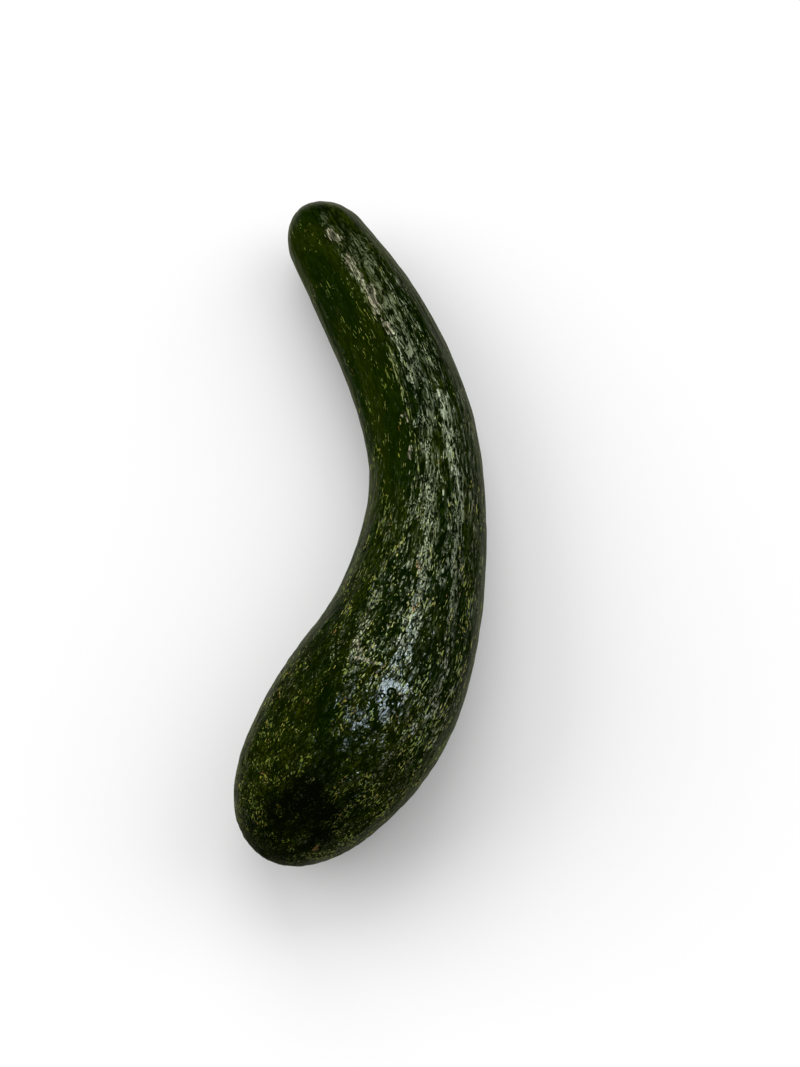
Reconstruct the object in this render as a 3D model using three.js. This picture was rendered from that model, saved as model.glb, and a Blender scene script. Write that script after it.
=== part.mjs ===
// A whole long-necked avocado, lying on its side as it comes to rest on a table.
//
// Frame: millimetres, +Z up. The fruit lies along Y, its stem end towards +Y and its blossom end
// towards -Y, and it bows out towards +X. The origin is the middle of its footprint, on the table.
//
// The body is a loft of upright rings across a curved spine. A ring is a circle with low swells
// on it, and it shrinks to nothing over the rounding of each end. Where the fruit's weight
// rests, under the bulb and under the neck, the skin is pressed flat against the table.
import * as THREE from "three";

// Stations that draw the spine, from the stem end to the blossom end: its place in plan, the
// radius of the fruit around it, and the gap between its underside and the table. The curves
// start and end at the first and last station, and pass smoothly near the others.
const STATIONS = [
  { x: -28.5, y: 189.5, radius: 16.5, gap: 6 },
  { x: -3, y: 142, radius: 23.5, gap: 2.5 },
  { x: 15, y: 101, radius: 25, gap: 0.5 },
  { x: 27, y: 64, radius: 26, gap: -1 },
  { x: 31, y: 28, radius: 25.5, gap: -1 },
  { x: 28, y: -10, radius: 29, gap: 1 },
  { x: 20, y: -49, radius: 33, gap: 1.5 },
  { x: 6, y: -85, radius: 40, gap: -1.5 },
  { x: -15, y: -116, radius: 37, gap: -1.5 },
  { x: -39, y: -156.5, radius: 40.5, gap: -2.5 },
];

// The rounded ends: how far back from the pole each reaches, how full it is (2 is an ellipse and
// more is blunter), and how many rings shape it.
const STEM_CAP = { length: 23, fullness: 2.05, rings: 9 };
const BLOSSOM_CAP = { length: 71, fullness: 1.95, rings: 14 };

// The marks at the poles: the round pit that the stalk leaves, and the dry nub of the flower.
const STEM_SCAR = { radius: 4, floor: 3, rise: -1 };
const BLOSSOM_NUB = { radius: 2.5, floor: 1.5, rise: 0.6 };

// Low swells of the skin: long ribs down the fruit and broad bulges. Angles go round the ring in
// degrees: 0 is the outside of the bend, 90 the top, 180 the inside of the bend and 270 the
// underside. `at` is the share of the spine where a swell is highest and `run` how far it reaches.
const SWELLS = [
  { angle: 108, width: 11, height: 0.7, at: 0.3, run: 0.28 },
  { angle: 54, width: 10, height: 0.6, at: 0.4, run: 0.25 },
  { angle: 14, width: 12, height: 0.5, at: 0.5, run: 0.3 },
  { angle: 165, width: 14, height: 0.4, at: 0.45, run: 0.25 },
  { angle: 215, width: 14, height: 0.5, at: 0.6, run: 0.25 },
  { angle: 318, width: 14, height: 0.5, at: 0.35, run: 0.3 },
  { angle: 184, width: 40, height: 0.6, at: 0.93, run: 0.06 },
];

// How softly the skin turns from its free curve to the flat it rests on.
const PRESS_BLEND = 0.25;

// Mesh density: rings between the two rounded ends, and points around a ring.
const BODY_RINGS = 44;
const SIDES = 48;

// How finely the length of the spine is measured.
const SPINE_STEPS = 2000;

const UP = new THREE.Vector3(0, 0, 1);

// How much each of four neighbouring stations counts at a place between the middle two, as in a
// uniform cubic B-spline.
function stationWeights(past) {
  const left = 1 - past;
  const near = (away) => (3 * away ** 3 - 6 * away ** 2 + 4) / 6;
  return [left ** 3 / 6, near(past), near(left), past ** 3 / 6];
}

// One value of the stations as a smooth curve, at a share of the way from the first to the last.
function drawn(key, share) {
  const values = STATIONS.map((station) => station[key]);
  const last = values.length - 1;
  const before = 2 * values[0] - values[1];
  const after = 2 * values[last] - values[last - 1];
  const padded = [before, ...values, after];
  const first = Math.min(Math.floor(share * last), last - 1);
  const weights = stationWeights(share * last - first);
  return weights.reduce((sum, weight, i) => sum + weight * padded[first + i], 0);
}

class Spine extends THREE.Curve {
  getPoint(share, target = new THREE.Vector3()) {
    return target.set(drawn("x", share), drawn("y", share), 0);
  }
}

const spine = new Spine();
spine.arcLengthDivisions = SPINE_STEPS;
const LENGTH = spine.getLength();
const radiusAt = (share) => drawn("radius", spine.getUtoTmapping(share));
const gapAt = (share) => drawn("gap", spine.getUtoTmapping(share));

// 0 at the pole, 1 where the rounding of the end is over.
function capShare(distance, { length, fullness }) {
  const left = 1 - Math.min(distance / length, 1);
  return (1 - left ** fullness) ** (1 / fullness);
}

// The upright frame across the spine at a distance from the stem end.
function section(distance) {
  const share = distance / LENGTH;
  const along = spine.getTangentAt(share);
  const outward = new THREE.Vector3().crossVectors(UP, along).normalize();
  const radius = radiusAt(share);
  const centre = spine.getPointAt(share).setZ(radius + gapAt(share));
  const closing = capShare(distance, STEM_CAP) * capShare(LENGTH - distance, BLOSSOM_CAP);
  return { share, along, outward, centre, radius, closing };
}

// How far the swells lift the skin, in millimetres.
function swellLift(share, degrees) {
  const lifts = SWELLS.map(({ angle, width, height, at, run }) => {
    const turn = ((degrees - angle + 540) % 360) - 180;
    return height * Math.exp(-((turn / width) ** 2) - ((share - at) / run) ** 2);
  });
  return lifts.reduce((sum, lift) => sum + lift, 0);
}

// A ring of points around the spine. `radiusOf` gives the radius at an angle in degrees.
function ring({ outward, centre }, radiusOf) {
  return Array.from({ length: SIDES }, (_, i) => {
    const degrees = (i * 360) / SIDES;
    const angle = THREE.MathUtils.degToRad(degrees);
    const radius = radiusOf(degrees);
    return centre
      .clone()
      .addScaledVector(outward, radius * Math.cos(angle))
      .addScaledVector(UP, radius * Math.sin(angle));
  });
}

function skinRing(distance) {
  const at = section(distance);
  return ring(at, (degrees) => at.closing * (at.radius + swellLift(at.share, degrees)));
}

// The pole and the two small rings of the mark around it. `out` is +1 where the end points on
// along the spine and -1 where it points back.
function poleMark(distance, out, { radius, floor, rise }) {
  const at = section(distance);
  const raised = at.centre.clone().addScaledVector(at.along, out * rise);
  return {
    pole: raised,
    rings: [ring({ ...at, centre: raised }, () => floor), ring(at, () => radius)],
  };
}

// Distances from the pole of the rings that round an end, evenly turned from near the pole.
function capDistances({ length, rings }) {
  const first = 2;
  return Array.from({ length: rings }, (_, i) => {
    const turn = ((i + first) / (rings - 1 + first)) * (Math.PI / 2);
    return length * (1 - Math.cos(turn));
  });
}

function bodyDistances() {
  const start = STEM_CAP.length;
  const step = (LENGTH - BLOSSOM_CAP.length - start) / (BODY_RINGS + 1);
  return Array.from({ length: BODY_RINGS }, (_, i) => start + step * (i + 1));
}

// Presses a height flat against the table, with a short blend where the skin meets it.
function press(z) {
  if (z > PRESS_BLEND) return z;
  if (z < -PRESS_BLEND) return 0;
  return (z + PRESS_BLEND) ** 2 / (4 * PRESS_BLEND);
}

function skinPoints() {
  const stem = poleMark(0, -1, STEM_SCAR);
  const blossom = poleMark(LENGTH, 1, BLOSSOM_NUB);
  const fromStem = capDistances(STEM_CAP);
  const fromBlossom = capDistances(BLOSSOM_CAP).map((d) => LENGTH - d).reverse();
  const rings = [
    ...stem.rings,
    ...[...fromStem, ...bodyDistances(), ...fromBlossom].map(skinRing),
    ...blossom.rings.reverse(),
  ];
  const points = [stem.pole, ...rings.flat(), blossom.pole];
  for (const point of points) point.z = press(point.z);
  return points;
}

// Triangles of the closed skin: a fan at each pole, and quads split in two between the rings.
function skinFaces(pointCount) {
  const last = pointCount - 1;
  const ringCount = (pointCount - 2) / SIDES;
  const at = (r, i) => 1 + r * SIDES + (i % SIDES);
  const faces = [];
  for (let i = 0; i < SIDES; i++) {
    faces.push(0, at(0, i + 1), at(0, i));
    faces.push(last, at(ringCount - 1, i), at(ringCount - 1, i + 1));
    for (let r = 0; r + 1 < ringCount; r++) {
      faces.push(at(r, i), at(r, i + 1), at(r + 1, i));
      faces.push(at(r, i + 1), at(r + 1, i + 1), at(r + 1, i));
    }
  }
  return faces;
}

// Moves the geometry so that the origin is the middle of its footprint.
function centreOnFootprint(geometry) {
  geometry.computeBoundingBox();
  const { min, max } = geometry.boundingBox;
  return geometry.translate(-(min.x + max.x) / 2, -(min.y + max.y) / 2, -min.z);
}

function skin() {
  const points = skinPoints();
  const geometry = new THREE.BufferGeometry().setFromPoints(points);
  geometry.setIndex(skinFaces(points.length));
  centreOnFootprint(geometry);
  geometry.computeVertexNormals();
  return geometry;
}

const avocado = new THREE.Mesh(
  skin(),
  new THREE.MeshStandardMaterial({ color: 0x1d2b0c, roughness: 0.35, metalness: 0 }),
);
avocado.name = "avocado";

const fruit = new THREE.Group();
fruit.name = "long_neck_avocado";
fruit.add(avocado);

export default fruit;
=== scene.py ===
"""A long-necked avocado, whole, lying on its side on a pale floor.

The skin is one closed mesh: a finer, embossed copy of the CAD skin, wrinkled along the neck and
pebbled on the bulb. Its material is procedural. Most of its marks are laid out in "grain"
coordinates, those of the fruit with its bend taken out, so that they follow the fruit's length.

Places on the skin are given as two shares. The share along goes from 0 at the stem end to 1 at
the blossom end. The share around goes from 0 on the outside of the bend, over 0.25 on top, to 0.5
on its inside and 0.75 underneath.
"""
import math
from functools import cached_property, reduce

import bmesh
import bpy
import numpy as np
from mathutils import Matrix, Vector, noise

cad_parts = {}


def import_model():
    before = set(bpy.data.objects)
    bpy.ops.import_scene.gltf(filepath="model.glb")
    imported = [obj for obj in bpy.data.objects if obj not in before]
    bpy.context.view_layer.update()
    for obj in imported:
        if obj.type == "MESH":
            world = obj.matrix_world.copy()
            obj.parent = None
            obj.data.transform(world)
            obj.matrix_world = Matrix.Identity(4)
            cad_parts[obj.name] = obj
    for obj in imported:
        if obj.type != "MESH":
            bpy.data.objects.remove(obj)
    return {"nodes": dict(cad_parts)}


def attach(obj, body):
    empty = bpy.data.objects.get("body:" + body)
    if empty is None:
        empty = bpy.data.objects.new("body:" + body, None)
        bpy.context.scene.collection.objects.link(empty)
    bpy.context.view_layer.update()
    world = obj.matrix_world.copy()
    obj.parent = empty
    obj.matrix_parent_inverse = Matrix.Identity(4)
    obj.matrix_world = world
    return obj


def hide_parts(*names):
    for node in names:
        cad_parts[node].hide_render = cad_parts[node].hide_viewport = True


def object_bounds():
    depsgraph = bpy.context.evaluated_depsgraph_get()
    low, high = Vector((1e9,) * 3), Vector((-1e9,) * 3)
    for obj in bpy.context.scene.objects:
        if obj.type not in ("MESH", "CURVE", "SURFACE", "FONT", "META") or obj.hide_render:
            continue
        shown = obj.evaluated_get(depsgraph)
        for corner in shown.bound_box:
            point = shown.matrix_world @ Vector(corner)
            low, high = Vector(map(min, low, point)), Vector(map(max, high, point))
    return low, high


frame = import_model()
CAD_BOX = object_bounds()

MM = 0.001
NODE = "avocado"
CENTRE = (CAD_BOX[0] + CAD_BOX[1]) / 2


# ---------------------------------------------------------------- the skin's shape

# The fine skin: points from end to end, and points around.
ALONG = 470
AROUND = 200

# CAD points nearer to each other than this, in metres, are one point.
SAME_POINT = 0.001 * MM

# How many rings to each side the fruit's direction is read over, to see past the pits at its ends.
RUN_REACH = 5

# Shares along: where the neck's wrinkles give way to the bulb's pebbles, and where the marks
# shorten towards the blossom end. Then how many times longer than wide the marks are on the neck,
# on the bulb and at that end.
NECK_ENDS, BULB_STARTS = 0.52, 0.82
TIP_STARTS, TIP_ENDS = 0.86, 0.97
NECK_STRETCH, BULB_STRETCH, TIP_STRETCH = 4.2, 2.1, 1.3

# The grain's least radius towards the fruit's ends, in millimetres, so that the marks keep their
# width there, and the smaller radius at which that starts to give way to the true one.
END_RADIUS = 26
END_EASE = END_RADIUS / 4


def ring_levels(bm, pole):
    """Points of a lofted skin, in lists by how many edges away from the pole they are."""
    levels, seen, edge = [[pole]], {pole}, [pole]
    while edge:
        edge = list({e.other_vert(v) for v in edge for e in v.link_edges} - seen)
        seen.update(edge)
        if edge:
            levels.append(edge)
    return levels


def in_turn(level, middle, run):
    """A ring's points in order, round from the outside of the bend and up over the top."""
    outward = np.array([-run[1], run[0]]) / np.linalg.norm(run)
    across = (level - middle)[:, :2] @ outward
    turn = np.arctan2(level[:, 2] - middle[2], across) / (2 * math.pi)
    return level[np.argsort((turn + 0.5 / len(level)) % 1)]


def cad_rings(node):
    """The CAD skin's rings, from the stem end to the blossom end: an array of [ring, side, xyz].

    The two end points are repeated into rings of their own.
    """
    bm = bmesh.new()
    bm.from_mesh(frame["nodes"][node].data)
    bmesh.ops.remove_doubles(bm, verts=bm.verts, dist=SAME_POINT)
    # The two end points have the most edges, since all the points of a ring meet there.
    poles = sorted(bm.verts, key=lambda v: len(v.link_edges))[-2:]
    stem = max(poles, key=lambda v: v.co.y)
    levels = [np.array([v.co for v in level]) for level in ring_levels(bm, stem)]
    bm.free()
    sides = len(levels[1])
    middles = np.array([level.mean(axis=0) for level in levels])
    order = np.arange(len(levels))
    ahead = middles[np.minimum(order + RUN_REACH, order[-1])]
    behind = middles[np.maximum(order - RUN_REACH, 0)]
    runs = (ahead - behind)[:, :2]
    rings = [in_turn(*ring) for ring in zip(levels[1:-1], middles[1:-1], runs[1:-1])]
    stem_end, blossom_end = (np.repeat(level, sides, axis=0) for level in (levels[0], levels[-1]))
    return np.array([stem_end, *rings, blossom_end])


def between(rows, at):
    """Values at fractional places on a smooth curve through the rows.

    Place 0 is the second row: the first and the last row only steer the curve.
    """
    i = np.clip(np.floor(at).astype(int), 0, len(rows) - 4)
    w = (at - i).reshape((-1,) + (1,) * (rows.ndim - 1))
    a, b, c, d = (rows[i + k] for k in range(4))
    return b + 0.5 * w * (c - a + w * (2 * a - 5 * b + 4 * c - d + w * (3 * (b - c) + d - a)))


def fine_rings(rings):
    """The rings on a finer grid, evenly spaced along the skin, and their distances from the stem."""
    sides = rings.shape[1]
    over_stem = np.roll(rings[1], sides // 2, axis=0)
    over_blossom = np.roll(rings[-2], sides // 2, axis=0)
    steps = np.linalg.norm(np.diff(rings, axis=0), axis=2).mean(axis=1)
    distance = np.concatenate([[0], np.cumsum(steps)])
    wanted = np.linspace(0, distance[-1], ALONG)
    at = np.interp(wanted, distance, np.arange(len(rings)))
    lengthwise = between(np.stack([over_stem, *rings, over_blossom]), at)
    around = np.moveaxis(lengthwise, 1, 0)
    around = np.concatenate([around[-1:], around, around[:2]])
    fine = between(around, np.arange(AROUND) * sides / AROUND)
    return np.moveaxis(fine, 0, 1), wanted


def outward_normals(points):
    """Unit normals of a grid of points that closes around its second axis."""
    wrapped = np.concatenate([points[:, -1:], points, points[:, :1]], axis=1)
    around = wrapped[:, 2:] - wrapped[:, :-2]
    along = np.gradient(points, axis=0)
    normals = np.cross(along, around)
    lengths = np.linalg.norm(normals, axis=2, keepdims=True)
    normals /= np.maximum(lengths, 1e-12)
    from_middle = points - points.mean(axis=1, keepdims=True)
    if (normals * from_middle).sum() < 0:
        normals = -normals
    normals[0], normals[-1] = normals[1].mean(axis=0), normals[-2].mean(axis=0)
    return normals / np.linalg.norm(normals, axis=2, keepdims=True)


def smooth_step(low, high, value):
    """Eases from 0 to 1 as the value goes from low to high, and stays there outside."""
    share = np.clip((value - low) / (high - low), 0, 1)
    return share * share * (3 - 2 * share)


def bulb_share(share):
    """From 0 on the neck to 1 on the bulb."""
    return smooth_step(NECK_ENDS, BULB_STARTS, share)


def grain_coordinates(points, distance):
    """Each point's place on the straightened fruit, in millimetres, and each ring's share along.

    The straightened fruit is shortened by its marks' stretch, so noise of even width laid out on
    it comes out that much longer than wide on the real one.
    """
    share = distance / distance[-1]
    tip = smooth_step(TIP_STARTS, TIP_ENDS, share)
    stretch = NECK_STRETCH + (BULB_STRETCH - NECK_STRETCH) * bulb_share(share)
    stretch += (TIP_STRETCH - BULB_STRETCH) * tip
    steps = np.diff(distance) / ((stretch[1:] + stretch[:-1]) / 2)
    lengthwise = np.concatenate([[0], np.cumsum(steps)]) / MM
    middles = points.mean(axis=1, keepdims=True)
    radius = np.linalg.norm(points - middles, axis=2).mean(axis=1) / MM
    radius = np.maximum(radius, END_RADIUS * radius / (radius + END_EASE))
    turn = np.arange(AROUND) * 2 * math.pi / AROUND
    grain = np.empty_like(points)
    grain[..., 0] = radius[:, None] * np.cos(turn)
    grain[..., 1] = lengthwise[:, None]
    grain[..., 2] = radius[:, None] * np.sin(turn)
    return grain, share


# ---------------------------------------------------------------- marks with a place of their own

# Strokes on the skin: the shares along and around of a stroke's two ends, and its half width in
# millimetres.
STROKES = {
    # The small forked cork scar by the blossom end.
    "fork": (
        ((0.949, 0.055), (0.942, 0.060), 0.2),
        ((0.942, 0.060), (0.936, 0.070), 0.6),
        ((0.942, 0.060), (0.938, 0.054), 0.45),
    ),
    # Pale rubbed places, most of them along the ridge of the neck, partly a painted highlight there.
    "rub_and_highlight": (
        ((0.106, 0.272), (0.124, 0.264), 1.9),
        ((0.153, 0.268), (0.198, 0.270), 1.3),
        ((0.209, 0.262), (0.245, 0.270), 1.7),
        ((0.245, 0.270), (0.267, 0.275), 0.1),
        ((0.264, 0.265), (0.279, 0.260), 1.0),
        ((0.392, 0.300), (0.403, 0.296), 0.4),
        ((0.409, 0.280), (0.411, 0.280), 0.6),
        ((0.437, 0.296), (0.454, 0.295), 0.6),
        ((0.752, 0.268), (0.750, 0.240), 0.6),
        ((0.733, 0.292), (0.744, 0.270), 0.5),
    ),
    # Painted shade in cracks just above the shiny patch of the bulb, and two spots of it beside it.
    "crack_shade": (
        ((0.748, 0.262), (0.741, 0.218), 0.7),
        ((0.752, 0.234), (0.767, 0.226), 1.0),
        ((0.771, 0.287), (0.775, 0.291), 1.0),
        ((0.822, 0.276), (0.826, 0.270), 1.2),
    ),
    # The calm area, plain and dull, that runs down the bulb beside the shiny patch.
    "calm": (
        ((0.667, 0.400), (0.742, 0.360), 4.0),
        ((0.742, 0.360), (0.806, 0.295), 6.0),
        ((0.806, 0.295), (0.842, 0.250), 7.0),
        ((0.842, 0.250), (0.864, 0.175), 6.0),
        ((0.842, 0.205), (0.835, 0.140), 5.0),
    ),
    # The shiny patch: the smoothest skin of the bulb.
    "glaze": (
        ((0.738, 0.210), (0.742, 0.205), 0.9),
        ((0.761, 0.205), (0.757, 0.180), 1.4),
        ((0.763, 0.200), (0.780, 0.190), 2.3),
        ((0.780, 0.190), (0.793, 0.170), 2.2),
        ((0.755, 0.165), (0.772, 0.160), 1.0),
        ((0.804, 0.210), (0.810, 0.185), 1.1),
        ((0.817, 0.205), (0.820, 0.203), 1.1),
        ((0.836, 0.201), (0.842, 0.200), 1.3),
    ),
    # The thin ridge line of the neck, beside its plain side: raised, and pale with a painted highlight.
    "edge": (
        ((0.104, 0.285), (0.113, 0.270), 0.2),
        ((0.113, 0.270), (0.164, 0.270), 0.3),
        ((0.164, 0.270), (0.224, 0.285), 0.2),
        ((0.224, 0.285), (0.271, 0.283), 0.3),
        ((0.271, 0.283), (0.326, 0.288), 0.2),
        ((0.326, 0.288), (0.388, 0.283), 0.3),
        ((0.388, 0.283), (0.475, 0.270), 0.2),
    ),
    # The sleek band along the top of the neck, where the skin shines softly and evenly.
    "sleek": (
        ((0.100, 0.215), (0.267, 0.225), 4.5),
        ((0.267, 0.225), (0.382, 0.225), 3.6),
        ((0.382, 0.225), (0.535, 0.215), 2.4),
        ((0.535, 0.215), (0.600, 0.205), 1.6),
    ),
    # Low ribs along the neck and over the bulb that are worn to a shine.
    "lane": (
        ((0.128, 0.200), (0.267, 0.235), 3.0),
        ((0.267, 0.235), (0.382, 0.240), 3.6),
        ((0.382, 0.240), (0.535, 0.230), 2.8),
        ((0.535, 0.230), (0.655, 0.210), 2.8),
        ((0.655, 0.210), (0.760, 0.195), 4.0),
        ((0.370, 0.180), (0.482, 0.165), 3.2),
        ((0.482, 0.165), (0.589, 0.150), 3.2),
        ((0.589, 0.150), (0.682, 0.125), 3.2),
        ((0.682, 0.125), (0.755, 0.100), 2.6),
        ((0.755, 0.110), (0.840, 0.120), 2.0),
        ((0.660, 0.300), (0.746, 0.280), 2.4),
        ((0.746, 0.280), (0.817, 0.225), 2.4),
    ),
}

# How the material ends each kind of stroke: from how far outside its outline it starts to fade
# (negative is inside) and where it is gone, in millimetres, and how far the skin's crests tear
# that outline, as a share of TATTER_REACH.
STROKE_EDGES = {
    "fork": (-0.15, 0.15, 0),
    "rub_and_highlight": (-0.4, 0.4, 1),
    "crack_shade": (-0.3, 0.3, 0.4),
    "calm": (-2, 2, 1),
    "glaze": (-0.2, 0.2, 0.7),
    "edge": (-0.2, 0.5, 0.8),
    "sleek": (-1, 1, 0.4),
    "lane": (-1.2, 1.2, 0.6),
}

# Thin rings of painted shade around four large breathing spots in the shiny patch: the shares along
# and around of the middle, and the ring's radius and the half width of its line, in millimetres. The
# line is full to the first share of that half width and gone at the second.
SHADE_RINGS = (
    (0.776, 0.195, 0.95, 0.40),
    (0.785, 0.190, 0.90, 0.30),
    (0.768, 0.185, 1.70, 0.60),
    (0.778, 0.180, 1.00, 0.35),
)
SHADE_RING_FULL, SHADE_RING_GONE = 0.8, 1.3

# The smooth dark side of the neck: the shares around between which it lies, the share that each of
# its long edges fades over, and the shares along between which it ends.
PLAIN_FROM, PLAIN_TO, PLAIN_FADE = 0.265, 0.52, 0.05
PLAIN_ENDS = (0.42, 0.62)

# The almost black patch by the blossom end: its middle, by shares of the CAD box, and how far
# from it the patch starts to fade and is gone, in millimetres. Two patterns add up to so many
# millimetres to that distance, which makes its outline blotchy.
DARK_PATCH_MIDDLE = CAD_BOX[0] + Vector((0.279, 0.044, 0.804)) * (CAD_BOX[1] - CAD_BOX[0])
DARK_PATCH_FULL, DARK_PATCH_GONE = 32, 60
CROWD_BLOTCH, PATCH_BLOTCH = 20, 40

# The stalk's scar at the stem end: its radius and how far its edge fades to each side, in
# millimetres. A torn pale rim lies over that edge.
STALK_RADIUS, STALK_FADE = 3.5, 0.3


def place_on(points, share_along, share_around):
    """The point of the skin that is nearest to these shares of the way along and around it."""
    return points[round(share_along * (ALONG - 1)), round(share_around * AROUND) % AROUND]


def from_stroke(places, start, end):
    """How far places are from a straight stroke; its ends may be one point."""
    run = end - start
    share = np.clip((places - start) @ run / max(run @ run, 1e-12), 0, 1)
    return np.linalg.norm(places - start - share[..., None] * run, axis=-1)


def from_strokes(points, name):
    """How far each point is outside the nearest of these strokes, in mm; negative inside."""
    distances = []
    for start, end, half_width in STROKES[name]:
        middle_line = from_stroke(points, place_on(points, *start), place_on(points, *end))
        distances.append(middle_line / MM - half_width)
    return np.min(distances, axis=0)


def plain_side(share):
    """From 0 to 1: the smooth dark side of the neck, from its ridge round the inside of the bend."""
    turn = np.arange(AROUND) / AROUND
    starts = smooth_step(PLAIN_FROM, PLAIN_FROM + PLAIN_FADE, turn)
    ends = smooth_step(PLAIN_TO, PLAIN_TO + PLAIN_FADE, turn)
    return starts * (1 - ends) * (1 - smooth_step(*PLAIN_ENDS, share))[:, None]


# ---------------------------------------------------------------- the skin's relief

# In millimetres: how high each kind stands, and how wide one mark of it is. A stretch makes the
# marks longer still than the grain does.
SWELL_HEIGHT, SWELL_WIDTH = 0.2, 28
DIMPLE_HEIGHT, DIMPLE_WIDTH = 0.15, 9
LANE_HEIGHT, LANE_WIDTH, LANE_STRETCH = 0.3, 9, 4
FOLD_HEIGHT, FOLD_WIDTH, FOLD_STRETCH = 0.4, 4.5, 1.5
WRINKLE_HEIGHT, WRINKLE_WIDTH = 0.28, 3.2
PEBBLE_HEIGHT, PEBBLE_WIDTH = 0.12, 3.4

# A pebble's flank, as the share of its width over which it rises from the crease to its top.
PEBBLE_FLANK = 0.6

# The folds, wrinkles and pebbles only rise, so the skin is first sunk by this share of their
# heights, and stands about as far inside the CAD skin as outside it.
SUNK = 0.25

# The height of the cork scar, and how far outside its outline it starts to fall and has fallen.
# Then the height of the neck's ridge line, and how far outside its outline that has fallen.
SCAR_HEIGHT, SCAR_FLANK = 0.2, (-0.4, 0.6)
EDGE_HEIGHT, EDGE_WIDTH = 0.3, 1.6

# Towards both ends the relief fades: the share of the way from the middle of the fruit to its end
# where that starts, and the share of the relief that is left at the end.
EVEN_STARTS, EVEN_LEFT = 0.9, 0.35

# Shifts one layer of noise against the next, so that no two layers match.
SEED_STEP = 31.7


def bumps(places, width, seed=0):
    """Smooth noise from about -1 to 1 at places in millimetres; each bump is about this wide."""
    at = places.reshape(-1, 3) / width + SEED_STEP * seed
    return np.array([noise.noise(p) for p in at.tolist()]).reshape(places.shape[:2])


def pebbles(places, width, seed=0):
    """Low domes packed side by side, from 0 in the creases between them to 1 on top."""
    at = places.reshape(-1, 3) / width + SEED_STEP * seed
    near = np.array([noise.voronoi(p)[0][:2] for p in at.tolist()])
    return smooth_step(0, PEBBLE_FLANK, near[:, 1] - near[:, 0]).reshape(places.shape[:2])


def fold_pattern(grain):
    """The long folds: 0 along their creases, rising to about 1 between them."""
    return abs(bumps(grain / (1, FOLD_STRETCH, 1), FOLD_WIDTH, 2))


def relief(points, grain, share):
    """How far each point of the fine skin stands off the CAD skin, in metres."""
    swells = SWELL_HEIGHT * bumps(points / MM, SWELL_WIDTH)
    dimples = DIMPLE_HEIGHT * bumps(points / MM, DIMPLE_WIDTH, 1)
    lanes = LANE_HEIGHT * bumps(grain / (1, LANE_STRETCH, 1), LANE_WIDTH, 5)
    folds = FOLD_HEIGHT * fold_pattern(grain)
    wrinkles = WRINKLE_HEIGHT * abs(bumps(grain, WRINKLE_WIDTH, 3))
    domes = PEBBLE_HEIGHT * bulb_share(share)[:, None] * pebbles(grain, PEBBLE_WIDTH, 4)
    level = -SUNK * (FOLD_HEIGHT + WRINKLE_HEIGHT + PEBBLE_HEIGHT)
    all_over = level + swells + dimples + lanes + folds + wrinkles + domes
    from_middle = abs(2 * share - 1)[:, None]
    even = 1 - (1 - EVEN_LEFT) * smooth_step(EVEN_STARTS, 1, from_middle)
    scar = SCAR_HEIGHT * (1 - smooth_step(*SCAR_FLANK, from_strokes(points, "fork")))
    ridge = EDGE_HEIGHT * (1 - smooth_step(0, EDGE_WIDTH, from_strokes(points, "edge")))
    return (all_over * even + scar + ridge) * MM


def store(mesh, name, values):
    """Puts one number or vector per point of a grid of rings on a mesh made by skin_mesh()."""
    kind, field = ("FLOAT", "value") if values.ndim == 2 else ("FLOAT_VECTOR", "vector")
    flat = [values[0, 0], *values[1:-1].reshape((-1,) + values.shape[2:]), values[-1, 0]]
    attribute = mesh.attributes.new(name, kind, "POINT")
    attribute.data.foreach_set(field, np.array(flat, dtype=np.float32).ravel())


def skin_mesh(points):
    """One closed mesh over a grid of rings: quads between them, and a fan at each end."""
    rings = points[1:-1]
    vertices = np.concatenate([points[:1, 0], rings.reshape(-1, 3), points[-1:, 0]])
    last = len(vertices) - 1
    faces = []
    for ring in range(len(rings) - 1):
        near, far = 1 + ring * AROUND, 1 + (ring + 1) * AROUND
        for i in range(AROUND):
            j = (i + 1) % AROUND
            faces.append((near + i, near + j, far + j, far + i))
    for i in range(AROUND):
        j = (i + 1) % AROUND
        faces.append((0, 1 + j, 1 + i))
        faces.append((last, last - AROUND + i, last - AROUND + j))
    mesh = bpy.data.meshes.new("avocado_skin")
    mesh.from_pydata(vertices.tolist(), [], faces)
    mesh.shade_smooth()
    return mesh


def outer_skin():
    """The embossed skin, resting on the floor, and the grid of points that it was made from."""
    points, distance = fine_rings(cad_rings(NODE))
    grain, share = grain_coordinates(points, distance)
    raised = points + outward_normals(points) * relief(points, grain, share)[..., None]
    raised[0], raised[-1] = raised[1].mean(axis=0), raised[-2].mean(axis=0)
    raised[..., 2] = np.maximum(raised[..., 2], 0)
    mesh = skin_mesh(raised)
    store(mesh, "grain_mm", grain)
    store(mesh, "share", np.repeat(share[:, None], AROUND, axis=1))
    store(mesh, "fold", fold_pattern(grain))
    store(mesh, "plain", plain_side(share))
    store(mesh, "stalk_mm", np.linalg.norm(points - points[0, 0], axis=2) / MM)
    for name in STROKES:
        store(mesh, name + "_mm", from_strokes(points, name))
    skin = bpy.data.objects.new("avocado_skin", mesh)
    bpy.context.collection.objects.link(skin)
    return skin, raised


# ---------------------------------------------------------------- node trees

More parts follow.
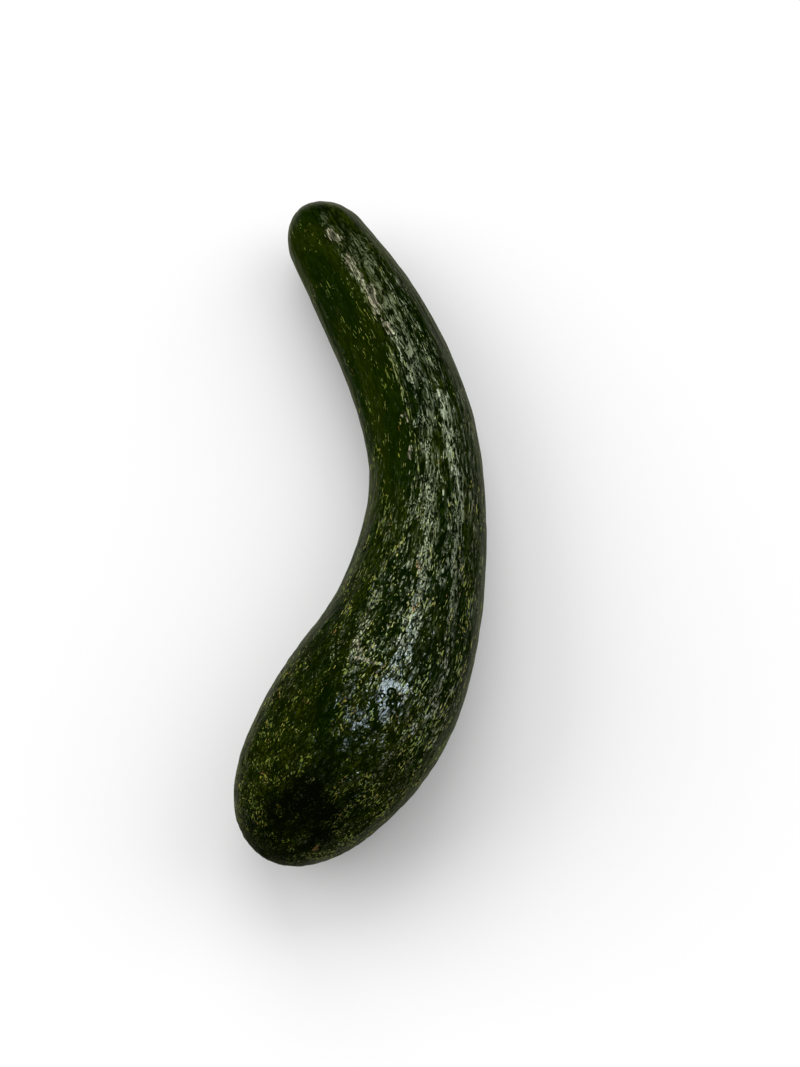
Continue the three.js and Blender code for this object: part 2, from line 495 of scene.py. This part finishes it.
class Graph:
    """A node tree, with short ways to add nodes and wire them up.

    Values are numbers or other nodes' sockets. A mask is a value that goes from 0 to 1.
    """

    def __init__(self, owner):
        owner.use_nodes = True
        self.tree = owner.node_tree
        self.tree.nodes.clear()

    def add(self, kind, inputs, **settings):
        """A node; inputs holds numbers, colours or other nodes' sockets, by input name or place."""
        node = self.tree.nodes.new("ShaderNode" + kind)
        for name, value in settings.items():
            setattr(node, name, value)
        for key, value in inputs.items():
            if isinstance(value, bpy.types.NodeSocket):
                self.tree.links.new(value, node.inputs[key])
            else:
                node.inputs[key].default_value = value
        return node

    def attribute(self, name, output="Fac"):
        """What store() put on the mesh; "Vector" is the output of a vector one."""
        return self.add("Attribute", {}, attribute_name=name).outputs[output]

    def math(self, operation, *values):
        return self.add("Math", dict(enumerate(values)), operation=operation).outputs[0]

    def vector(self, operation, *values):
        return self.add("VectorMath", dict(enumerate(values)), operation=operation).outputs["Vector"]

    def plus(self, *values):
        return reduce(lambda first, second: self.math("ADD", first, second), values)

    def minus(self, first, second):
        return self.math("SUBTRACT", first, second)

    def times(self, *values):
        return reduce(lambda first, second: self.math("MULTIPLY", first, second), values)

    def most(self, *values):
        return reduce(lambda first, second: self.math("MAXIMUM", first, second), values)

    def without(self, value, mask, share=1):
        """The value, less this share of it where the mask is 1."""
        return self.times(value, self.minus(1, self.times(mask, share)))

    def ramp(self, value, low, high, start=0.0, end=1.0):
        """Eases from start to end as the value goes from low to high, and stays there outside."""
        inputs = {"Value": value, "From Min": low, "From Max": high, "To Min": start, "To Max": end}
        return self.add("MapRange", inputs, interpolation_type="SMOOTHSTEP").outputs[0]

    def band(self, value, low_gone, low_full, high_full, high_gone):
        """A mask that is full between two values and gone outside two more."""
        rise = self.ramp(value, low_gone, low_full)
        return self.times(rise, self.ramp(value, high_full, high_gone, 1, 0))

    def blend(self, mask, first, second):
        """A number between two."""
        return self.add("Mix", {0: mask, 2: first, 3: second}).outputs[0]

    def mix(self, mask, first, second):
        """A colour between two."""
        return self.add("Mix", {0: mask, 6: first, 7: second}, data_type="RGBA").outputs[2]

    def distance(self, place, point):
        """How far the place is from a fixed point."""
        inputs = {0: place, 1: tuple(point)}
        return self.add("VectorMath", inputs, operation="DISTANCE").outputs["Value"]

    def shifted(self, place, shift):
        """The place, moved, so that two patterns of one kind don't match."""
        return self.vector("ADD", place, (shift, shift, shift))

    def noise(self, place, width, stretch, shift, detail):
        """Noise from 0 to 1 whose marks are about this wide, in the place's own units.

        Its marks are stretched along the place's Y axis, and its middle value is 0.5.
        """
        if stretch != 1:
            place = self.vector("DIVIDE", place, (1, stretch, 1))
        inputs = {"Vector": self.shifted(place, shift), "Scale": 1 / width, "Detail": detail}
        return self.add("TexNoise", inputs).outputs["Fac"]

    def from_middle(self, noise_value):
        """How far a noise is from its middle value: 0 along thin winding lines."""
        return self.math("ABSOLUTE", self.minus(noise_value, 0.5))


# ---------------------------------------------------------------- the skin's material

DEEP_GREEN = (0.0045, 0.0108, 0.0001, 1)
OLIVE_GREEN = (0.0135, 0.0198, 0.0003, 1)
# Painted shade, laid in the hollows and around the small flecks.
PAINTED_SHADE_BLACK = (0.0008, 0.0025, 0.0001, 1)
DARK_PATCH_BLACK = (0.0007, 0.0013, 0.0003, 1)
FLECK_GREEN = (0.088, 0.125, 0.009, 1)
FLECK_YELLOW = (0.165, 0.165, 0.020, 1)
FLECK_RUST = (0.15, 0.075, 0.018, 1)
# Pale rubbed skin, and partly a painted highlight along the lit ridge of the neck.
RUBBED_AND_HIGHLIGHT = (0.31, 0.295, 0.20, 1)
# A painted highlight along the raised ridge line of the neck.
RIDGE_HIGHLIGHT_PALE = (0.17, 0.20, 0.07, 1)
CORK = (0.060, 0.036, 0.012, 1)
TORN_RIM = (0.16, 0.12, 0.06, 1)
SHEEN_TINT = (0.85, 0.85, 0.55, 1)

# Patterns are laid out on the grain, mostly after a broad and a fine noise have pushed it about:
# how many marks to a millimetre each of the two has, and how far it pushes along the grain's X, Y
# and Z, in millimetres. The flow is pushed by the broad one alone.
WANDER_SCALE, WANDER_REACH = 0.45, (1.4, 2.2, 1.4)
RAGGED_SCALE, RAGGED_REACH = 1.6, (0.5, 0.6, 0.5)
FLOW_REACH = (1.6, 1.0, 1.6)

# The patterns: the width of a mark, in millimetres, how many times longer it is drawn out, the
# shift that sets it apart from the others, and its number of finer layers.
PATTERNS = {
    "drawn crests": (0.85, 1.9, 200, 1),
    "even crests": (0.95, 1, 200, 1),
    "dents": (1.6, 1, 120, 1),
    "curls": (2.8, 1, 60, 1),
    "grit": (0.5, 1, 400, 1),
    "streaks": (1.2, 3, 320, 1),
    "film": (3.2, 1, 440, 1),
    "ribs": (6, 4, 280, 1),
    "clumps": (2.6, 1, 240, 1),
    "flecks": (0.70, 1.3, 0, 1),
    "tones": (3, 1, 360, 1),
    "crowd": (5, 1, 40, 1),
    "patches": (14, 1, 80, 2),
}

# Shares along between which the material changes from the neck's look to the bulb's.
CRESTS_EVEN_OUT = (0.62, 0.76)
FURROWS_WIDEN = (0.5, 0.75)
CURLS_BEGIN = (0.56, 0.7)
FLECKS_CROWD = (0.15, 0.6)
NECK_FLECKS_END = (0.45, 0.65)
FLECKS_BRIGHTEN = (0.3, 0.6)
OLIVE_GROWS = (0.6, 0.88)
SHINE_GROWS = (0.55, 0.7)

# Shares along between which the sleek skin of the stem end ends and the dark blossom end begins.
STEM_END = (0.08, 0.2)
DARK_TIP = (0.93, 0.985)

# How far the crests tear a placed mark's outline from lowest to highest, in millimetres.
TATTER_REACH = 7

# The small flecks show where their noise is above a level, which is this much lower where they
# crowd most, and are full FLECK_BLUR above it. Rims of painted shadow around them start and are
# full below it.
FLECK_LEVEL, FLECK_CROWDED = 0.71, 0.13
FLECK_BLUR = 0.04
FLECK_SHADOW_FROM, FLECK_SHADOW_FULL = -0.09, -0.02

# Breathing spots: the width of the cells that hold one each and the radius of the largest, in
# millimetres, and the cells' shift. Then the share of the cells with a pale spot, where they crowd
# most, and where a halo of painted shade starts, is full, starts to end and has ended, in those radii.
SPOT_CELL, SPOT_RADIUS, SPOT_SHIFT = 1.9, 0.34, 15
SPOT_SHARE = 0.35
SHADE_HALO_RADII = (1.0, 1.3, 1.8, 2.3)

# The shares of the creases and of the curls that the glaze fills, and the share of the glints that
# the calm area takes away.
GLAZE_FILLS, GLAZE_FILLS_CURLS = 0.45, 0.5
CALM_DULLS = 0.85

# The shine of the pale marks, and of all skin at grazing angles, where its differences vanish. The
# second comes in between two of Layer Weight's facing values.
MARK_SHINE, GRAZING_SHINE = 0.4, 0.32
GRAZING_FROM, GRAZING_FULL = 0.5, 0.8

# The heights, in millimetres, that a whole unit of each pattern stands for in the bump.
DENT_BUMP, CREST_BUMP, SPOT_BUMP, FLECK_BUMP = 0.9, 0.35, 0.12, 0.1


class Skin(Graph):
    """The skin's node tree. Each property is a place, a pattern or a mask, made when first used.

    Widths and distances are in millimetres unless they say otherwise.
    """

    def __init__(self, material, points):
        super().__init__(material)
        self.points = points

    # Places for the patterns.

    @cached_property
    def grain(self):
        """The place on the straightened fruit."""
        return self.attribute("grain_mm", "Vector")

    @cached_property
    def share(self):
        """The share along."""
        return self.attribute("share")

    @cached_property
    def object_place(self):
        """The place on the real fruit, in metres."""
        return self.add("TexCoord", {}).outputs["Object"]

    @cached_property
    def wander(self):
        return self.push(WANDER_SCALE)

    @cached_property
    def place(self):
        """The grain pushed about, for marks with ragged outlines."""
        place = self.vector("MULTIPLY_ADD", self.wander, WANDER_REACH, self.grain)
        return self.vector("MULTIPLY_ADD", self.push(RAGGED_SCALE), RAGGED_REACH, place)

    @cached_property
    def flow(self):
        """The grain pushed about more gently, for marks that flow along the fruit."""
        return self.vector("MULTIPLY_ADD", self.wander, FLOW_REACH, self.grain)

    def push(self, scale):
        """Three noises from 0 to 1, to push a place about."""
        inputs = {"Vector": self.grain, "Scale": scale, "Detail": 1}
        return self.add("TexNoise", inputs).outputs["Color"]

    # Patterns that several masks share.

    def pattern(self, place, name):
        """One of PATTERNS, laid out on a place."""
        return self.noise(place, *PATTERNS[name])

    @cached_property
    def crests(self):
        """The finest relief: drawn out along the neck, and even on the bulb."""
        drawn = self.pattern(self.place, "drawn crests")
        even = self.pattern(self.place, "even crests")
        return self.blend(self.ramp(self.share, *CRESTS_EVEN_OUT), drawn, even)

    @cached_property
    def tatter(self):
        """How far the crests push a placed mark's outline in or out."""
        return self.times(self.minus(self.crests, 0.5), TATTER_REACH)

    @cached_property
    def grit(self):
        return self.pattern(self.place, "grit")

    @cached_property
    def streaks(self):
        return self.pattern(self.flow, "streaks")

    @cached_property
    def clumps(self):
        return self.pattern(self.grain, "clumps")

    @cached_property
    def crowd(self):
        return self.pattern(self.grain, "crowd")

    @cached_property
    def patches(self):
        return self.pattern(self.grain, "patches")

    @cached_property
    def wild(self):
        """1 on all of the skin but the plain side of the neck."""
        return self.minus(1, self.attribute("plain"))

    # Marks with a place of their own.

    def on_strokes(self, name):
        """The mask of a kind of stroke, with the outline that STROKE_EDGES gives it."""
        full, gone, tear = STROKE_EDGES[name]
        distance = self.attribute(name + "_mm")
        if tear:
            distance = self.plus(distance, self.times(self.tatter, tear))
        return self.ramp(distance, full, gone, 1, 0)

    @cached_property
    def glaze(self):
        return self.on_strokes("glaze")

    @cached_property
    def calm(self):
        return self.on_strokes("calm")

    @cached_property
    def fork(self):
        return self.on_strokes("fork")

    @cached_property
    def lane(self):
        """The worn ribs: the placed ones, and fainter ones anywhere."""
        ribs = self.pattern(self.grain, "ribs")
        return self.most(self.on_strokes("lane"), self.ramp(ribs, 0.47, 0.6, 0, 0.4))

    @cached_property
    def sleek(self):
        """The sleek band of the neck and the skin around the stem end, at most 0.9."""
        stem_end = self.ramp(self.share, *STEM_END, 1, 0)
        return self.times(self.most(self.on_strokes("sleek"), stem_end), 0.9)

    @cached_property
    def edge(self):
        """The pale ridge line, a painted highlight, broken up by the streaks and the grit."""
        line = self.times(self.on_strokes("edge"), self.ramp(self.streaks, 0.42, 0.58, 0, 0.9))
        return self.times(line, self.ramp(self.grit, 0.4, 0.55, 0.1, 1))

    @cached_property
    def rub_and_highlight(self):
        """Rubbed places and painted highlight, broken up by the streaks, the creases and the grit."""
        rub_and_highlight = self.times(self.on_strokes("rub_and_highlight"), self.ramp(self.streaks, 0.40, 0.56, 0.2, 0.9))
        rub_and_highlight = self.without(rub_and_highlight, self.crease_shade, 0.7)
        return self.times(rub_and_highlight, self.ramp(self.grit, 0.38, 0.54, 0.3, 1))

    @cached_property
    def ring(self):
        """The thin lines of painted shade that SHADE_RINGS lists."""
        lines = []
        for along, around, radius, half_width in SHADE_RINGS:
            middle = place_on(self.points, along, around)
            off = self.minus(self.distance(self.object_place, middle), radius * MM)
            full, gone = (share * half_width * MM for share in (SHADE_RING_FULL, SHADE_RING_GONE))
            lines.append(self.ramp(self.math("ABSOLUTE", off), full, gone, 1, 0))
        return self.most(*lines)

    @cached_property
    def dark_patch(self):
        """The almost black patch, and the darker blossom end."""
        far = self.plus(
            self.distance(self.object_place, DARK_PATCH_MIDDLE),
            self.times(self.crowd, CROWD_BLOTCH * MM),
            self.times(self.patches, PATCH_BLOTCH * MM),
        )
        patch = self.ramp(far, DARK_PATCH_FULL * MM, DARK_PATCH_GONE * MM, 0.92, 0)
        return self.most(patch, self.ramp(self.share, *DARK_TIP, 0, 0.7))

    @cached_property
    def stalk_far(self):
        """How far the middle of the stalk's scar is, with the crests' push."""
        return self.plus(self.attribute("stalk_mm"), self.times(self.tatter, 0.3))

    @cached_property
    def stalk(self):
        """The scar of the stalk."""
        return self.ramp(self.stalk_far, STALK_RADIUS - STALK_FADE, STALK_RADIUS + STALK_FADE, 1, 0)

    @cached_property
    def torn(self):
        """The torn rim over that scar's edge."""
        reaches = (STALK_RADIUS + STALK_FADE * fades for fades in (-3, -1, 1, 3))
        return self.band(self.stalk_far, *reaches)

    # Flecks and breathing spots.

    @cached_property
    def crowding(self):
        """How the flecks crowd: at most about 1, and below 0 where there are hardly any."""
        here_and_there = self.ramp(self.crowd, 0.44, 0.6, -0.5, 0.45)
        crowding = self.plus(here_and_there, self.ramp(self.share, *FLECKS_CROWD, 0.1, 0.55))
        crowding = self.minus(crowding, self.times(self.calm, 0.5))
        fewer_on_neck = self.times(self.wild, self.ramp(self.share, *NECK_FLECKS_END, 0.4, 0))
        return self.minus(crowding, fewer_on_neck)

    @cached_property
    def fleck_rise(self):
        """How far the small flecks' noise is above the level where they show."""
        level = self.minus(FLECK_LEVEL, self.times(self.crowding, FLECK_CROWDED))
        return self.minus(self.pattern(self.place, "flecks"), level)

    @cached_property
    def small(self):
        """The small flecks."""
        return self.ramp(self.fleck_rise, 0, FLECK_BLUR)

    @cached_property
    def rim(self):
        """The thin rims of painted shadow around the small flecks."""
        return self.minus(self.ramp(self.fleck_rise, FLECK_SHADOW_FROM, FLECK_SHADOW_FULL), self.small)

    @cached_property
    def spot_cells(self):
        inputs = {"Vector": self.shifted(self.place, SPOT_SHIFT), "Scale": 1 / SPOT_CELL}
        return self.add("TexVoronoi", inputs).outputs

    @cached_property
    def spot_far(self):
        """How far the nearest breathing spot's middle is, in radii of the largest."""
        return self.times(self.spot_cells["Distance"], SPOT_CELL / SPOT_RADIUS)

    @cached_property
    def spot(self):
        """The pale breathing spots, of several sizes."""
        dice = self.add("SeparateColor", {0: self.spot_cells["Color"]}).outputs
        inside = self.minus(self.ramp(dice[0], 0, 1, 0.5, 1), self.spot_far)
        there = self.math("LESS_THAN", dice[1], self.times(self.crowding, SPOT_SHARE))
        return self.times(self.ramp(inside, -0.4, 0.4), there)

    @cached_property
    def pale_marks(self):
        return self.most(self.small, self.spot)

    # Hollows, which are dark with painted shade, and dull.

    @cached_property
    def dents(self):
        """0 along the finest creases, rising between them."""
        return self.from_middle(self.pattern(self.place, "dents"))

    # Painted shade along the finest creases, less in the glaze.
    @cached_property
    def crease_shade(self):
        return self.without(self.ramp(self.dents, 0.01, 0.075, 1, 0), self.glaze, GLAZE_FILLS)

    @cached_property
    def furrow_shade(self):
        """Painted shade in the creases of the long folds, which are wider on the bulb."""
        from_crease = self.plus(self.attribute("fold"), self.times(self.tatter, 0.06))
        width = self.ramp(self.share, *FURROWS_WIDEN, 0.13, 0.2)
        return self.without(self.ramp(from_crease, 0.02, width, 1, 0), self.glaze, GLAZE_FILLS)

    @cached_property
    def curl_shade(self):
        """Curled creases of painted shade, without relief of their own, on the bulb only."""
        from_crease = self.from_middle(self.pattern(self.place, "curls"))
        curl_shade = self.ramp(from_crease, 0.015, 0.075, 1, 0)
        curl_shade = self.times(curl_shade, self.ramp(self.share, *CURLS_BEGIN))
        return self.without(curl_shade, self.glaze, GLAZE_FILLS_CURLS)

    @cached_property
    def shade_halo(self):
        """A ring of painted shade around every breathing spot, pale or not."""
        return self.band(self.spot_far, *SHADE_HALO_RADII)

    # The hollows take painted shade in the colour and lose their shine.
    @cached_property
    def shaded_hollow(self):
        crack_shade = self.on_strokes("crack_shade")
        return self.most(self.furrow_shade, self.curl_shade, self.crease_shade, self.shade_halo, self.ring, crack_shade)

    # Colour.

    @cached_property
    def olive(self):
        """Where the ground is olive rather than deep green: in patches, more so on the bulb."""
        olive = self.ramp(self.patches, 0.35, 0.65)
        olive = self.plus(olive, self.ramp(self.share, *OLIVE_GROWS, -0.35, 0.3))
        return self.minus(olive, self.times(self.calm, 0.4))

    @cached_property
    def dark(self):
        """Painted shade: the dark of the hollows and the flecks' rims, weaker on the plain side."""
        return self.times(self.most(self.shaded_hollow, self.rim), self.ramp(self.wild, 0, 1, 0.5, 0.85))

    @cached_property
    def fleck(self):
        """The pale marks, which are fainter here and there and towards the stem end."""
        vivid = self.ramp(self.share, *FLECKS_BRIGHTEN, 0.8, 0.95)
        vivid = self.times(vivid, self.ramp(self.clumps, 0.35, 0.6, 0.5, 1))
        return self.times(self.pale_marks, vivid)

    @cached_property
    def fleck_colour(self):
        tone = self.pattern(self.grain, "tones")
        colour = self.mix(self.ramp(tone, 0.42, 0.6), FLECK_GREEN, FLECK_YELLOW)
        return self.mix(self.ramp(tone, 0.66, 0.7), colour, FLECK_RUST)

    @cached_property
    def colour(self):
        """Deep green under coats of other colours, each laid over the ones before it."""
        coats = (
            (self.olive, OLIVE_GREEN),
            # painted shade in the hollows and around the flecks
            (self.dark, PAINTED_SHADE_BLACK),
            (self.fleck, self.fleck_colour),
            (self.dark_patch, DARK_PATCH_BLACK),
            # a painted highlight along the neck's ridge
            (self.edge, RIDGE_HIGHLIGHT_PALE),
            # pale rubbed skin, partly a painted highlight along the lit ridge
            (self.rub_and_highlight, RUBBED_AND_HIGHLIGHT),
            (self.fork, CORK),
            (self.stalk, CORK),
            (self.torn, TORN_RIM),
        )
        colour = DEEP_GREEN
        for mask, coat in coats:
            colour = self.mix(mask, colour, coat)
        return colour

    # Shine: how much of a clear coat the skin has.

    @cached_property
    def glints(self):
        """Shine on the highest crests, which clump together and gather on the lanes."""
        high = self.plus(self.crests, self.times(self.minus(self.clumps, 0.5), 0.75))
        high = self.plus(high, self.times(self.minus(self.lane, 0.45), 0.25))
        glints = self.times(self.ramp(high, 0.52, 0.64), self.ramp(self.grit, 0.36, 0.54, 0.25, 1))
        return self.without(glints, self.calm, CALM_DULLS)

    @cached_property
    def satin(self):
        """A soft streaky shine, mostly on the lanes."""
        satin = self.ramp(self.streaks, 0.40, 0.68, 0.1, 0.55)
        return self.times(satin, self.ramp(self.lane, 0, 1, 0.4, 1))

    @cached_property
    def film(self):
        """The faint even shine of sleek skin."""
        faint = self.ramp(self.pattern(self.flow, "film"), 0.42, 0.56, 0.08, 0.3)
        return self.most(self.times(self.satin, 0.6), faint)

    @cached_property
    def polish(self):
        """The shine of the skin between its marks, without the glaze."""
        polish = self.blend(self.sleek, self.most(self.glints, self.satin), self.film)
        polish = self.times(polish, self.ramp(self.wild, 0, 1, 0.45, 1))
        polish = self.ramp(polish, 0.04, 0.72)
        return self.times(polish, self.ramp(self.share, *SHINE_GROWS, 0.76, 1))

    @cached_property
    def shine(self):
        shine = self.without(self.most(self.polish, self.glaze), self.shaded_hollow)
        shine = self.most(shine, self.times(self.pale_marks, MARK_SHINE))
        facing = self.add("LayerWeight", {"Blend": 0.5}).outputs["Facing"]
        shine = self.blend(self.ramp(facing, GRAZING_FROM, GRAZING_FULL), shine, GRAZING_SHINE)
        shine = self.without(shine, self.most(self.fork, self.dark_patch))
        return self.without(shine, self.most(self.stalk, self.torn))

    # Bump, for relief finer than the mesh.

    @cached_property
    def height(self):
        creases = self.plus(self.times(self.dents, DENT_BUMP), self.times(self.crests, CREST_BUMP))
        creases = self.without(creases, self.glaze, GLAZE_FILLS)
        creases = self.times(creases, self.ramp(self.wild, 0, 1, 0.75, 1))
        creases = self.times(creases, self.ramp(self.sleek, 0, 1, 1, 0.5))
        spots = self.times(self.ramp(self.spot_far, 0.4, 1.4, 1, 0), SPOT_BUMP)
        return self.plus(creases, spots, self.times(self.small, FLECK_BUMP))

    def wire_shader(self):
        """A matt skin without gloss of its own, under a clear coat and with a faint sheen."""
        bump = self.add("Bump", {"Height": self.height, "Distance": MM, "Strength": 1.0}).outputs[0]
        shader = self.add("BsdfPrincipled", {
            "Base Color": self.colour, "Normal": bump, "IOR": 1.45,
            "Roughness": 0.5, "Specular IOR Level": 0.0,
            "Coat Weight": self.shine, "Coat Roughness": 0.17, "Coat IOR": 1.5, "Coat Normal": bump,
            "Sheen Weight": 0.045, "Sheen Roughness": 0.2, "Sheen Tint": SHEEN_TINT,
        })
        self.add("OutputMaterial", {"Surface": shader.outputs[0]})


def skin_material(points):
    material = bpy.data.materials.new("avocado_skin")
    Skin(material, points).wire_shader()
    return material


# ---------------------------------------------------------------- the studio

# The floor, in metres. It is FLOOR_GREY, but glossy things reflect it with painted shade, a dim
# tint, to the west of the fruit, and with painted light, a bright one, to its east, which has taken
# over at FLOOR_TURNS from the origin.
FLOOR_SIZE = 30
FLOOR_GREY = 0.66
FLOOR_SHADE_IN_GLOSS = (0.45, 0.45, 0.34, 1)
FLOOR_LIGHT_IN_GLOSS = (1.0, 1.0, 0.82, 1)
FLOOR_TURNS = 0.3

# The world: what lights matt things, what the camera sees behind the floor, and what glossy things
# reflect.
FILL_GREY = 0.8
BACKDROP_GREY = 1.1
GLOSS_FILL = (0.10, 0.12, 0.08, 1)

# Light panels, as seen from the fruit: azimuth from +Y towards +X and height, in degrees; width
# and tallness, in degrees; how bright (1 is the picture's white), and tint. The soft ones light
# matt surfaces and the others show in glossy ones. The distances are in metres.
SOFT_DISTANCE, GLOSS_DISTANCE = 60, 0.9
SOFT_PANELS = {
    "soft_west": (-80, 28, 60, 44, 2.8, (1.0, 1.0, 1.0)),
    "soft_left": (-6, 46, 40, 50, 2.2, (1.0, 1.0, 1.0)),
    "soft_right": (76, 36, 60, 50, 1.3, (1.0, 1.0, 1.0)),
}
GLOSS_PANELS = {
    "gloss_left": (4, 48, 50, 28, 13, (0.93, 1.0, 0.66)),
    "gloss_below": (18, 28, 72, 12, 6, (0.85, 1.0, 0.66)),
    "gloss_middle": (47, 48, 32, 28, 6.5, (0.80, 1.0, 0.98)),
    "gloss_sky": (80, 52, 34, 26, 18, (0.80, 0.97, 1.13)),
    "gloss_crown": (116, 67, 20, 20, 14, (0.80, 0.97, 1.13)),
    "gloss_right": (100, 18, 24, 40, 5, (0.97, 1.0, 0.72)),
    "gloss_low": (74, 8, 60, 46, 3, (0.9, 1.0, 0.66)),
}

# Camera: the height that it looks down from, its distance from what it looks at in metres, that
# point's place from the middle of the CAD box, and its lens and sensor in millimetres. The sensor
# is as long as the picture is tall.
CAMERA_HEIGHT = math.radians(60)
CAMERA_DISTANCE = 1.1
CAMERA_AIM = Vector((15.4, -14.0, -7.9)) * MM
CAMERA_LENS, CAMERA_SENSOR = 82.5, 36


def grey(level):
    return level, level, level, 1


def floor_material():
    """A pale matt floor, which glossy things reflect in other tints: painted shade and painted light.
    """
    material = bpy.data.materials.new("floor")
    g = Graph(material)
    glossy = g.add("LightPath", {}).outputs["Is Glossy Ray"]
    east = g.add("SeparateXYZ", {0: g.add("TexCoord", {}).outputs["Object"]}).outputs[0]
    # The reflected tint: painted shade to the west, painted light to the east.
    tint = g.mix(g.ramp(east, 0, FLOOR_TURNS), FLOOR_SHADE_IN_GLOSS, FLOOR_LIGHT_IN_GLOSS)
    seen = g.add("BsdfDiffuse", {"Color": grey(FLOOR_GREY)}).outputs[0]
    reflected = g.add("BsdfDiffuse", {"Color": tint}).outputs[0]
    both = g.add("MixShader", {0: glossy, 1: seen, 2: reflected}).outputs[0]
    g.add("OutputMaterial", {"Surface": both})
    return material


def floor():
    half = FLOOR_SIZE / 2
    corners = [(-half, -half, 0), (half, -half, 0), (half, half, 0), (-half, half, 0)]
    mesh = bpy.data.meshes.new("floor")
    mesh.from_pydata(corners, [], [(0, 1, 2, 3)])
    mesh.materials.append(floor_material())
    obj = bpy.data.objects.new("floor", mesh)
    bpy.context.collection.objects.link(obj)


def world():
    """An even fill for matt surfaces, a dim one for glossy ones and a pale backdrop."""
    studio = bpy.data.worlds.new("studio")
    bpy.context.scene.world = studio
    g = Graph(studio)
    ray = g.add("LightPath", {}).outputs
    backdrop = g.add("Background", {"Color": grey(BACKDROP_GREY)}).outputs[0]
    fill = g.add("Background", {"Color": grey(FILL_GREY)}).outputs[0]
    dim = g.add("Background", {"Color": GLOSS_FILL}).outputs[0]
    lit = g.add("MixShader", {0: ray["Is Glossy Ray"], 1: fill, 2: dim}).outputs[0]
    shown = g.add("MixShader", {0: ray["Is Camera Ray"], 1: lit, 2: backdrop}).outputs[0]
    g.add("OutputWorld", {"Surface": shown})


def panel(name, distance, azimuth, height, width, tallness, brightness, tint):
    """A rectangular light facing the fruit, as an object, as bright whatever its size."""
    turn, rise = math.radians(azimuth), math.radians(height)
    towards = Vector((math.sin(turn) * math.cos(rise), math.cos(turn) * math.cos(rise), math.sin(rise)))
    light = bpy.data.lights.new(name, "AREA")
    light.shape = "RECTANGLE"
    light.size = 2 * distance * math.tan(math.radians(width) / 2)
    light.size_y = 2 * distance * math.tan(math.radians(tallness) / 2)
    light.energy = brightness * math.pi * light.size * light.size_y
    light.color = tint
    obj = bpy.data.objects.new(name, light)
    obj.location = CENTRE + towards * distance
    obj.rotation_euler = towards.to_track_quat("Z", "Y").to_euler()
    obj.visible_camera = False
    bpy.context.collection.objects.link(obj)
    return obj


def camera():
    data = bpy.data.cameras.new("camera")
    data.sensor_width, data.lens = CAMERA_SENSOR, CAMERA_LENS
    back = Vector((0, -math.cos(CAMERA_HEIGHT), math.sin(CAMERA_HEIGHT)))
    obj = bpy.data.objects.new("camera", data)
    obj.location = CENTRE + CAMERA_AIM + back * CAMERA_DISTANCE
    obj.rotation_euler = back.to_track_quat("Z", "Y").to_euler()
    bpy.context.collection.objects.link(obj)
    bpy.context.scene.camera = obj


# ---------------------------------------------------------------- the scene

camera()
world()
floor()
for name, values in SOFT_PANELS.items():
    panel(name, SOFT_DISTANCE, *values).visible_glossy = False
for name, values in GLOSS_PANELS.items():
    panel(name, GLOSS_DISTANCE, *values).visible_diffuse = False
bpy.context.scene.view_settings.view_transform = "Standard"

skin, skin_points = outer_skin()
skin.data.materials.append(skin_material(skin_points))
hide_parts(NODE)
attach(skin, "root")
